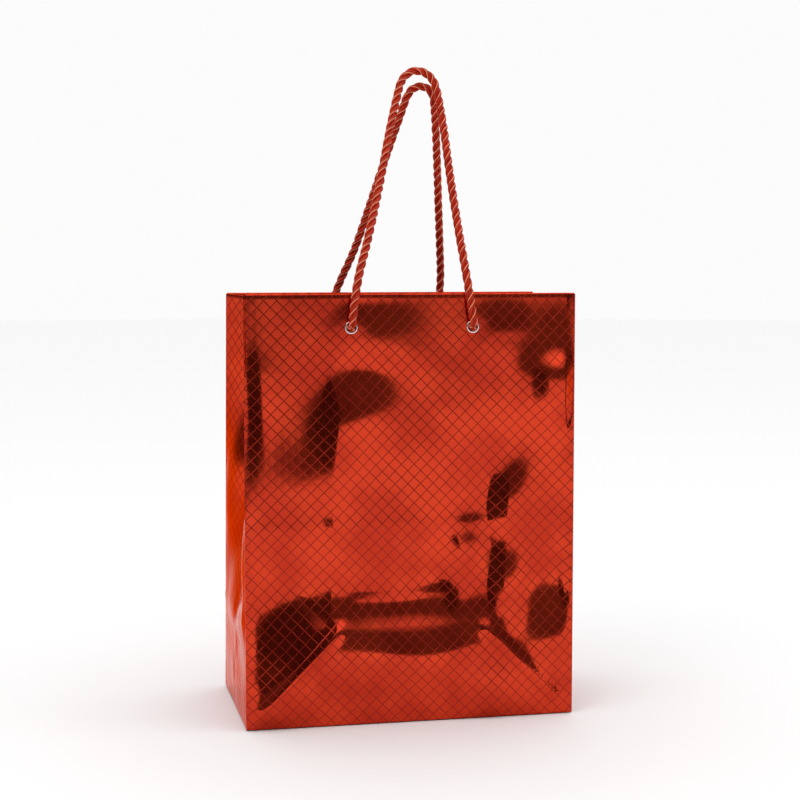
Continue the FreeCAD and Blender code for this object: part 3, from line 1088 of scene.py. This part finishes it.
def geometry_tree(name: str, inputs: dict[str, str]) -> bpy.types.NodeTree:
    """Makes an empty geometry node tree with a geometry socket each way and named inputs."""
    tree = bpy.data.node_groups.new(name, "GeometryNodeTree")
    tree.interface.new_socket("Geometry", in_out="INPUT", socket_type="NodeSocketGeometry")
    for label, kind in inputs.items():
        tree.interface.new_socket(label, in_out="INPUT", socket_type=kind)
    tree.interface.new_socket("Geometry", in_out="OUTPUT", socket_type="NodeSocketGeometry")
    return tree


def run_tree(
    piece: bpy.types.Object, tree: bpy.types.NodeTree, values: dict[str, object]
) -> bpy.types.Object:
    """Sets a tree's inputs by their identifiers, runs it on a piece and bakes the result."""
    modifier = piece.modifiers.new(tree.name, "NODES")
    modifier.node_group = tree
    for item in tree.interface.items_tree:
        if item.in_out == "INPUT" and item.name in values:
            modifier[item.identifier] = values[item.name]
    return baked(piece)


def stored(build: Nodes, geometry: Socket, name: str, value: Value, kind: str = "FLOAT") -> Socket:
    """Returns geometry with a value stored on its points under a name."""
    inputs = {"Geometry": geometry, "Name": name}
    node = build.add("GeometryNodeStoreNamedAttribute", inputs, data_type=kind, domain="POINT")
    build.feed(node.inputs["Value"], value)
    return node.outputs[0]


def recalled(build: Nodes, name: str, kind: str = "FLOAT") -> Socket:
    """Returns the value that is stored under a name."""
    return build.add("GeometryNodeInputNamedAttribute", {"Name": name}, data_type=kind).outputs[0]


def tube(build: Nodes, curve: Socket, sides: Value, radius: Value, name: str = "") -> bpy.types.Node:
    """Sweeps a circle along a curve, with its turn stored under a name if one is given."""
    circle = {"Resolution": sides, "Radius": radius}
    profile = build.add("GeometryNodeCurvePrimitiveCircle", circle, mode="RADIUS").outputs[0]
    if name:
        place = build.add("GeometryNodeSplineParameter").outputs["Index"]
        profile = stored(build, profile, name, build.math("DIVIDE", place, sides))
    sweep = {"Curve": curve, "Profile Curve": profile, "Fill Caps": True}
    return build.add("GeometryNodeCurveToMesh", sweep)


def finished(build: Nodes, geometry: Socket, finish: Socket) -> None:
    """Makes instances real, gives them their material and ends the tree."""
    real = build.add("GeometryNodeRealizeInstances", {"Geometry": geometry}).outputs[0]
    dressed = build.add("GeometryNodeSetMaterial", {"Geometry": real, "Material": finish})
    build.add("NodeGroupOutput", {0: dressed.outputs[0]})


def rope_tree(strands: int = 3) -> bpy.types.NodeTree:
    """Twists strands round a line, right-handed, with both ends rounded off."""
    inputs = {
        "Diameter": FLOAT, "Lead": FLOAT, "Step": FLOAT, "Slack": FLOAT,
        "Sides": "NodeSocketInt", "Material": "NodeSocketMaterial",
    }
    centre_share, strand_share = 0.268, 0.252
    shortest, wander_rate = 0.995, 90.0
    tree = geometry_tree("twisted_rope", inputs)
    build = Nodes(tree)
    given = build.add("NodeGroupInput").outputs
    line = build.add("GeometryNodeMeshToCurve", {0: given["Geometry"]}).outputs[0]
    step = {"Curve": line, "Length": given["Step"]}
    resampled = build.add("GeometryNodeResampleCurve", step, mode="LENGTH").outputs[0]
    spline = build.add("GeometryNodeSplineParameter").outputs
    total = build.add("GeometryNodeSplineLength").outputs["Length"]
    half = build.math("MULTIPLY", given["Diameter"], 0.5)
    to_end = build.math("MINIMUM", spline["Length"], build.math("SUBTRACT", total, spline["Length"]))
    short = build.math("DIVIDE", build.math("SUBTRACT", half, to_end), half)
    short = build.math("MINIMUM", build.math("MAXIMUM", short, 0.0), shortest)
    round_off = build.math("SQRT", build.math("SUBTRACT", 1.0, build.math("MULTIPLY", short, short)))
    normal = build.add("GeometryNodeInputNormal").outputs[0]
    tangent = build.add("GeometryNodeInputTangent").outputs[0]
    binormal = build.vector("CROSS_PRODUCT", tangent, normal)
    drift = {"W": build.math("MULTIPLY", spline["Length"], wander_rate), "Scale": 1.0}
    wander = build.add("ShaderNodeTexNoise", drift, noise_dimensions="1D").outputs[0]
    lag = build.math("MULTIPLY", build.math("SUBTRACT", wander, 0.5), given["Slack"])
    turns = build.math("ADD", build.math("DIVIDE", spline["Length"], given["Lead"]), lag)
    joined = build.add("GeometryNodeJoinGeometry")
    for index in range(strands):
        angle = build.math("MULTIPLY", build.math("ADD", turns, index / strands), math.tau)
        outwards = build.scaled(normal, build.math("COSINE", angle))
        across = build.vector("ADD", outwards, build.scaled(binormal, build.math("SINE", angle)))
        reach = build.math("MULTIPLY", build.math("MULTIPLY", given["Diameter"], centre_share), round_off)
        named = resampled
        for label, value in (("along", spline["Length"]), ("strand", float(index)), ("thin", round_off)):
            named = stored(build, named, label, value)
        turned = build.vector("CROSS_PRODUCT", tangent, across)
        named = stored(build, named, "sideways", turned, "FLOAT_VECTOR")
        offset = {"Geometry": named, "Offset": build.scaled(across, reach)}
        moved = build.add("GeometryNodeSetPosition", offset).outputs[0]
        radius = build.math("MULTIPLY", given["Diameter"], strand_share)
        swept = tube(build, moved, given["Sides"], radius, "around")
        thin = recalled(build, "thin")
        if "Scale" in swept.inputs:
            build.feed(swept.inputs["Scale"], thin)
        else:
            narrowed = build.add("GeometryNodeSetCurveRadius", {"Curve": moved, "Radius": thin})
            build.feed(swept.inputs["Curve"], narrowed.outputs[0])
        # Stores how each strand's surface faces across its twist, which places the rope's painted highlight.
        sideways = recalled(build, "sideways", "FLOAT_VECTOR")
        facing = {0: build.add("GeometryNodeInputNormal").outputs[0], 1: sideways}
        beside = build.add("ShaderNodeVectorMath", facing, operation="DOT_PRODUCT").outputs["Value"]
        build.feed(joined.inputs[0], stored(build, swept.outputs[0], "beside", beside))
    smoothed = build.add("GeometryNodeSetShadeSmooth", {"Geometry": joined.outputs[0]}).outputs[0]
    finished(build, smoothed, given["Material"])
    return tree


def fray_tree(sides: int = 3) -> bpy.types.NodeTree:
    """Spreads fine curved fibres from the cut end of a cord, hanging down."""
    inputs = {
        "Count": "NodeSocketInt", "Radius": FLOAT, "Length": FLOAT, "Thickness": FLOAT, "Spread": FLOAT,
        "Seed": "NodeSocketInt", "Place": VECTOR, "Material": "NodeSocketMaterial",
    }
    tree = geometry_tree("frayed_end", inputs)
    build = Nodes(tree)
    given = build.add("NodeGroupInput").outputs

    def draw(low: float, high: float, offset: int) -> bpy.types.NodeSocket:
        """Returns a random number for each point."""
        seed = build.math("ADD", given["Seed"], float(offset))
        node = build.add("FunctionNodeRandomValue", data_type="FLOAT")
        for socket in node.inputs:
            if socket.enabled and socket.name in ("Min", "Max", "Seed"):
                build.feed(socket, {"Min": low, "Max": high, "Seed": seed}[socket.name])
        return next(s for s in node.outputs if s.enabled)

    angle = draw(0.0, math.tau, 1)
    reach = build.math("MULTIPLY", build.math("SQRT", draw(0.0, 1.0, 2)), given["Radius"])
    place = build.add(
        "ShaderNodeCombineXYZ",
        {0: build.math("MULTIPLY", reach, build.math("COSINE", angle)),
         1: build.math("MULTIPLY", reach, build.math("SINE", angle))},
    ).outputs[0]
    points = build.add("GeometryNodePoints", {"Count": given["Count"], "Position": place})
    fibre = build.add("GeometryNodeCurveQuadraticBezier", {"Resolution": 4})
    bend = build.add("ShaderNodeCombineXYZ", {2: build.math("MULTIPLY", given["Length"], -0.55)}).outputs[0]
    tip = {0: build.math("MULTIPLY", given["Length"], 0.28), 2: build.math("MULTIPLY", given["Length"], -1.0)}
    end = build.add("ShaderNodeCombineXYZ", tip).outputs[0]
    for name, value in (("Start", (0.0, 0.0, 0.0)), ("Middle", bend), ("End", end)):
        build.feed(fibre.inputs[name], value)
    swept = tube(build, fibre.outputs[0], sides, given["Thickness"])
    lean = build.math("MULTIPLY", given["Spread"], build.math("DIVIDE", reach, given["Radius"]))
    lean = build.math("MULTIPLY", lean, draw(-1.0, -0.2, 3))
    turned = build.add("ShaderNodeCombineXYZ", {1: lean, 2: angle})
    placed = build.add(
        "GeometryNodeInstanceOnPoints",
        {"Points": points.outputs[0], "Instance": swept.outputs[0], "Rotation": turned.outputs[0],
         "Scale": build.add("ShaderNodeCombineXYZ", {0: 1.0, 1: 1.0, 2: draw(0.6, 1.15, 4)}).outputs[0]},
    )
    shift = {"Geometry": placed.outputs[0], "Translation": given["Place"]}
    moved = build.add("GeometryNodeTransform", shift).outputs[0]
    finished(build, moved, given["Material"])
    return tree


@dataclass
class RopeMaker:
    """Makes rope pieces from lines with one shared geometry node tree."""

    finishes: Finishes
    lead: float = 15.5 * MM
    lead_diameter: float = 4.5 * MM
    step: float = 0.65 * MM
    slack: float = 0.16
    fibres: int = 90
    fibre_length: float = 4.5 * MM
    fibre_size: float = 0.09 * MM
    fibre_spread: float = 0.75
    tree: bpy.types.NodeTree = field(init=False)
    fray: bpy.types.NodeTree = field(init=False)

    def __post_init__(self) -> None:
        """Builds the trees."""
        self.tree = rope_tree()
        self.fray = fray_tree()

    def rope(self, name: str, line: Sequence[Vector], diameter: float, sides: int = 14) -> bpy.types.Object:
        """Returns a rope that follows a line."""
        mesh = bpy.data.meshes.new(name)
        mesh.from_pydata([tuple(p) for p in line], [(i, i + 1) for i in range(len(line) - 1)], [])
        holder = mesh_object(name, mesh)
        values = {
            "Diameter": diameter, "Lead": self.lead * diameter / self.lead_diameter,
            "Step": self.step, "Slack": self.slack,
            "Sides": sides, "Material": self.finishes.rope,
        }
        return run_tree(holder, self.tree, values)

    def frayed(self, name: str, place: Vector, radius: float, seed: int) -> bpy.types.Object:
        """Returns the loose fibres of a cut end."""
        mesh = bpy.data.meshes.new(name)
        holder = mesh_object(name, mesh)
        values = {
            "Count": self.fibres, "Radius": radius, "Length": self.fibre_length,
            "Thickness": self.fibre_size, "Spread": self.fibre_spread,
            "Seed": seed, "Place": tuple(place), "Material": self.finishes.rope,
        }
        return run_tree(holder, self.fray, values)


@dataclass
class Handle:
    """One rope handle with its eyelets, its knots and its frayed tails."""

    side: Side
    route: Sequence[Point]
    joint: str
    maker: RopeMaker
    finishes: Finishes
    lean: float
    diameter: float = 4.5 * MM
    knot_diameter: float = 3.4 * MM
    knot_seat: float = 5.2 * MM
    knot_wall: float = 1.1 * MM
    knot_loop: float = 1.15 * MM
    knot_depth: float = 1.6 * MM
    bore: float = 2.42 * MM
    lip: float = 3.45 * MM
    barrel: float = 2.7 * MM
    lip_seat: float = 0.25 * MM
    lip_swell: float = 0.42 * MM
    rear_half: float = 1.1 * MM

    @property
    def outward(self) -> Vector:
        """Direction that the wall faces."""
        if self.side is Side.FRONT:
            return Vector((0, -1, 0))
        return Vector((0, math.cos(self.lean), math.sin(self.lean)))

    def bend_point(self, hand: str) -> Vector:
        """Returns the middle of the bend where the rope leaves an eyelet."""
        low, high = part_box(f"{self.side.value}_{hand}_eyelet")
        axis = next(j for j in frame["record"]["behaviour"]["joints"] if j["name"] == self.joint)["pos_m"]
        return Vector(((low.x + high.x) / 2, axis[1], axis[2]))

    def build(self) -> None:
        """Makes the loop, then what holds each of its ends."""
        ends = [self.bend_point(hand) for hand in HANDS]
        line = smooth_line([ends[0], *self.route, ends[1]])
        loop = self.maker.rope(f"{self.side.value}_rope", line, self.diameter)
        settle(loop, f"{self.side.value}_handle", Slot.CORD, f"{self.side.value}_handle_cord")
        for index, hand in enumerate(HANDS):
            self.ring(hand)
            self.knot(hand, ends[index], seed=10 * index + (1 if self.side is Side.FRONT else 5))

    def ring(self, hand: str) -> None:
        """Makes one rolled eyelet."""
        node = f"{self.side.value}_{hand}_eyelet"
        low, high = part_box(node)
        centre = (low + high) / 2
        half = (high - low).y / 2 if self.side is Side.FRONT else self.rear_half
        roll = (self.lip - self.bore) / 2
        profile = []
        for sign in (-1, 1):
            for angle in np.linspace(0, 180, 9):
                turn = math.radians(angle)
                radius = self.bore + roll + sign * roll * math.cos(turn)
                profile.append((radius, sign * (half - self.lip_seat + self.lip_swell * math.sin(turn))))
            profile.append((self.barrel, sign * (half - self.lip_seat)) if sign == -1 else (self.bore, 0.0))
        inward = -self.outward
        across = Vector((1, 0, 0))
        upright = inward.cross(across)
        rings = []
        for angle in np.linspace(0, math.tau, 40, endpoint=False):
            spoke = across * math.cos(angle) + upright * math.sin(angle)
            rings.append([tuple(centre + spoke * radius + inward * depth) for radius, depth in profile])
        mesh = tube_mesh(f"{node}_ring", np.array(rings), closed=True)
        piece = mesh_object(f"{node}_ring", mesh, self.finishes.metal)
        upright_faces(piece)
        smooth(piece, math.radians(60))
        settle(piece, "bag", Slot.METAL, node)

    def knot(self, hand: str, bend: Vector, seed: int) -> None:
        """Makes the neck through an eyelet, the knot behind it and its frayed tail."""
        node = f"{self.side.value}_{hand}_knot"
        inward = -self.outward
        across = Vector((1, 0, 0))
        upward = across.cross(inward)
        centre = bend + inward * (self.diameter / 2 + self.knot_wall + self.knot_seat)
        neck = smooth_line([bend, bend + inward * 3 * MM, bend + inward * 6 * MM, centre])
        settle(self.maker.rope(f"{node}_neck", neck, self.diameter), "bag", Slot.CORD, node)
        line = []
        for turn in np.linspace(0.35, math.tau - 0.35, 26):
            right = math.sin(turn) + 2 * math.sin(2 * turn)
            high = math.cos(turn) - 2 * math.cos(2 * turn)
            deep = -math.sin(3 * turn)
            aside = across * right * self.knot_loop + upward * high * self.knot_loop
            line.append(centre + aside + inward * deep * self.knot_depth)
        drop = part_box(node)[0].z
        tail = centre + inward * 1.5 * MM - across * 1.5 * MM
        line += [
            Vector((tail.x, tail.y, centre.z - 5.5 * MM)),
            Vector((tail.x - 0.6 * MM, tail.y, centre.z - 9 * MM)),
            Vector((tail.x, tail.y + 0.3 * MM, drop + 2.5 * MM)),
        ]
        line = smooth_line([centre, *line], resolution=6)
        settle(self.maker.rope(f"{node}_loops", line, self.knot_diameter), "bag", Slot.CORD)
        cut = line[-1] + Vector((0, 0, 0.8 * MM))
        fray = self.maker.frayed(f"{node}_fray", cut, self.knot_diameter * 0.42, seed)
        settle(fray, "bag", Slot.CORD)


def upright_faces(piece: bpy.types.Object) -> None:
    """Turns the faces of a closed piece so that they point outwards."""
    work = bmesh.new()
    work.from_mesh(piece.data)
    bmesh.ops.recalc_face_normals(work, faces=work.faces)
    work.to_mesh(piece.data)
    work.free()


# ---------------------------------------------------------------- studio
@dataclass
class Studio:
    """Pale floor, soft light and the camera."""

    target: Point = (0.0039, 0.0, 0.1701)
    azimuth: float = -12.07
    elevation: float = 4.76
    distance: float = 0.966
    lens: float = 77.5
    sensor: float = 36.0
    floor_radius: float = 6.0
    floor_drop: float = 0.45 * MM
    floor_sides: int = 128
    floor_grey: float = 0.93
    floor_roughness: float = 0.7
    flag_grey: float = 0.07
    flag_roughness: float = 0.9
    flags: Sequence[tuple[float, float, float]] = (
        (-17.0, 0.30, 0.57), (62.0, 0.10, 0.60), (118.0, 0.12, 0.60),
        (-72.0, 0.06, 0.60), (168.0, 0.07, 0.62),
    )
    flag_height: float = 0.7
    horizon: tuple[float, float, float, float] = (-0.06, 0.045, 0.74, 0.0)
    overhead: tuple[float, float, float, float] = (0.36, 0.66, 0.16, 1.38)
    background: float = 0.97
    lamps: Sequence[tuple[str, Point, float]] = (
        ("key_light", (-1.2, -1.1, 1.7), 5.0),
        ("fill_light", (1.5, -0.6, 1.5), 2.5),
    )
    lamp_size: float = 1.0
    lamp_aim: Point = (0.0, 0.0, 0.15)

    def camera(self) -> None:
        """Places the camera in front of the bag, a little to its left and above its middle."""
        data = bpy.data.cameras.new("camera")
        data.lens = self.lens
        data.sensor_width = self.sensor
        made = bpy.data.objects.new("camera", data)
        turn, rise = math.radians(self.azimuth), math.radians(self.elevation)
        back = Vector((math.sin(turn) * math.cos(rise), -math.cos(turn) * math.cos(rise), math.sin(rise)))
        made.location = Vector(self.target) + back * self.distance
        made.rotation_euler = (-back).to_track_quat("-Z", "Y").to_euler()
        bpy.context.scene.collection.objects.link(made)
        bpy.context.scene.camera = made

    def paint(self, name: str, grey: float, roughness: float) -> bpy.types.Material:
        """Returns a plain paint for what stands round the bag."""
        inputs = {"Base Color": (grey, grey, grey), "Roughness": roughness}
        return material(name, lambda build: build.add("ShaderNodeBsdfPrincipled", inputs))

    def floor(self) -> None:
        """Makes a round pale table top, which the bag stands on."""
        turns = np.linspace(0, math.tau, self.floor_sides, endpoint=False)
        reach = self.floor_radius
        rim = [(reach * math.cos(t), reach * math.sin(t), -self.floor_drop) for t in turns]
        mesh = bpy.data.meshes.new("floor")
        mesh.from_pydata(rim, [], [tuple(range(len(rim)))])
        pale = self.paint("floor_paint", self.floor_grey, self.floor_roughness)
        mesh_object("floor", mesh, pale)

    def dark_flags(self) -> None:
        """Stands dark cards round the bag, seen only as reflections, which give the foil contrast."""
        black = self.paint("flag_cloth", self.flag_grey, self.flag_roughness)
        for index, (azimuth, wide, far) in enumerate(self.flags):
            turn = math.radians(azimuth)
            away = Vector((math.sin(turn), -math.cos(turn), 0))
            across = Vector((math.cos(turn), math.sin(turn), 0))
            foot = away * far
            left, right = foot - across * wide / 2, foot + across * wide / 2
            up = Vector((0, 0, self.flag_height))
            mesh = bpy.data.meshes.new(f"flag_{index}")
            mesh.from_pydata([tuple(p) for p in (left, right, right + up, left + up)], [], [(0, 1, 2, 3)])
            made = mesh_object(f"flag_{index}", mesh, black)
            made.visible_camera = made.visible_diffuse = made.visible_shadow = False

    def surroundings(self) -> None:
        """Makes a pale studio with a broad light overhead and a dim band round the horizon."""
        world = bpy.data.worlds.new("studio")
        world.use_nodes = True
        bpy.context.scene.world = world
        bpy.context.scene.view_settings.view_transform = "Standard"
        build = Nodes(world.node_tree)
        direction = build.add("ShaderNodeTexCoord").outputs["Generated"]
        height = build.add("ShaderNodeSeparateXYZ", {0: direction}).outputs[2]
        low = build.ramp(height, *self.horizon)
        high = build.ramp(height, *self.overhead)
        seen = build.add("ShaderNodeLightPath").outputs["Is Camera Ray"]
        inputs = {0: seen, 2: build.math("ADD", low, high), 3: self.background}
        shade = build.add("ShaderNodeMix", inputs, data_type="FLOAT").outputs[0]
        glow = build.add("ShaderNodeBackground", {"Color": (1.0, 1.0, 1.0), "Strength": shade})
        build.add("ShaderNodeOutputWorld", {"Surface": glow.outputs[0]})

    def lamp(self, name: str, place: Point, power: float) -> None:
        """Adds a square soft light that points at the bag."""
        data = bpy.data.lights.new(name, "AREA")
        data.shape, data.size, data.energy = "SQUARE", self.lamp_size, power
        made = bpy.data.objects.new(name, data)
        made.location = place
        made.rotation_euler = (Vector(self.lamp_aim) - Vector(place)).to_track_quat("-Z", "Y").to_euler()
        bpy.context.scene.collection.objects.link(made)

    def build(self) -> None:
        """Sets up the whole studio."""
        self.camera()
        self.floor()
        self.surroundings()
        self.dark_flags()
        for name, place, power in self.lamps:
            self.lamp(name, place, power)


def main() -> None:
    """Builds the studio, the handles, the folded sheet and the base."""
    logging.basicConfig(level=logging.INFO, format="%(name)s: %(message)s")
    Studio().build()
    finishes = Finishes()
    low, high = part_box("front_wall")
    rear_low, rear_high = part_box("rear_wall")
    foot_low, foot_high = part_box("left_gusset_foot")
    width, height = high.x - low.x, high.z
    paper = 0.4 * MM
    depth = foot_high.y - foot_low.y + 2 * paper
    lean = math.asin((rear_high.y - rear_low.y - paper) / height)
    maker = RopeMaker(finishes)
    Handle(Side.FRONT, FRONT_ROUTE, "front_handle_swing", maker, finishes, lean).build()
    Handle(Side.REAR, REAR_ROUTE, "rear_handle_swing", maker, finishes, lean).build()
    eyelets = []
    for side, start, sign in ((Side.FRONT, width / 2, 1), (Side.REAR, width + depth + width / 2, -1)):
        for hand in HANDS:
            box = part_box(f"{side.value}_{hand}_eyelet")
            middle = (box[0] + box[1]) / 2
            up = middle.z if side is Side.FRONT else middle.z / math.cos(lean)
            eyelets.append((start + sign * middle.x, up))
    FoilSheet(width, depth, height, lean, eyelets, finishes).build()
    FoldedBase(finishes).build()


if __name__ == "__main__":
    main()
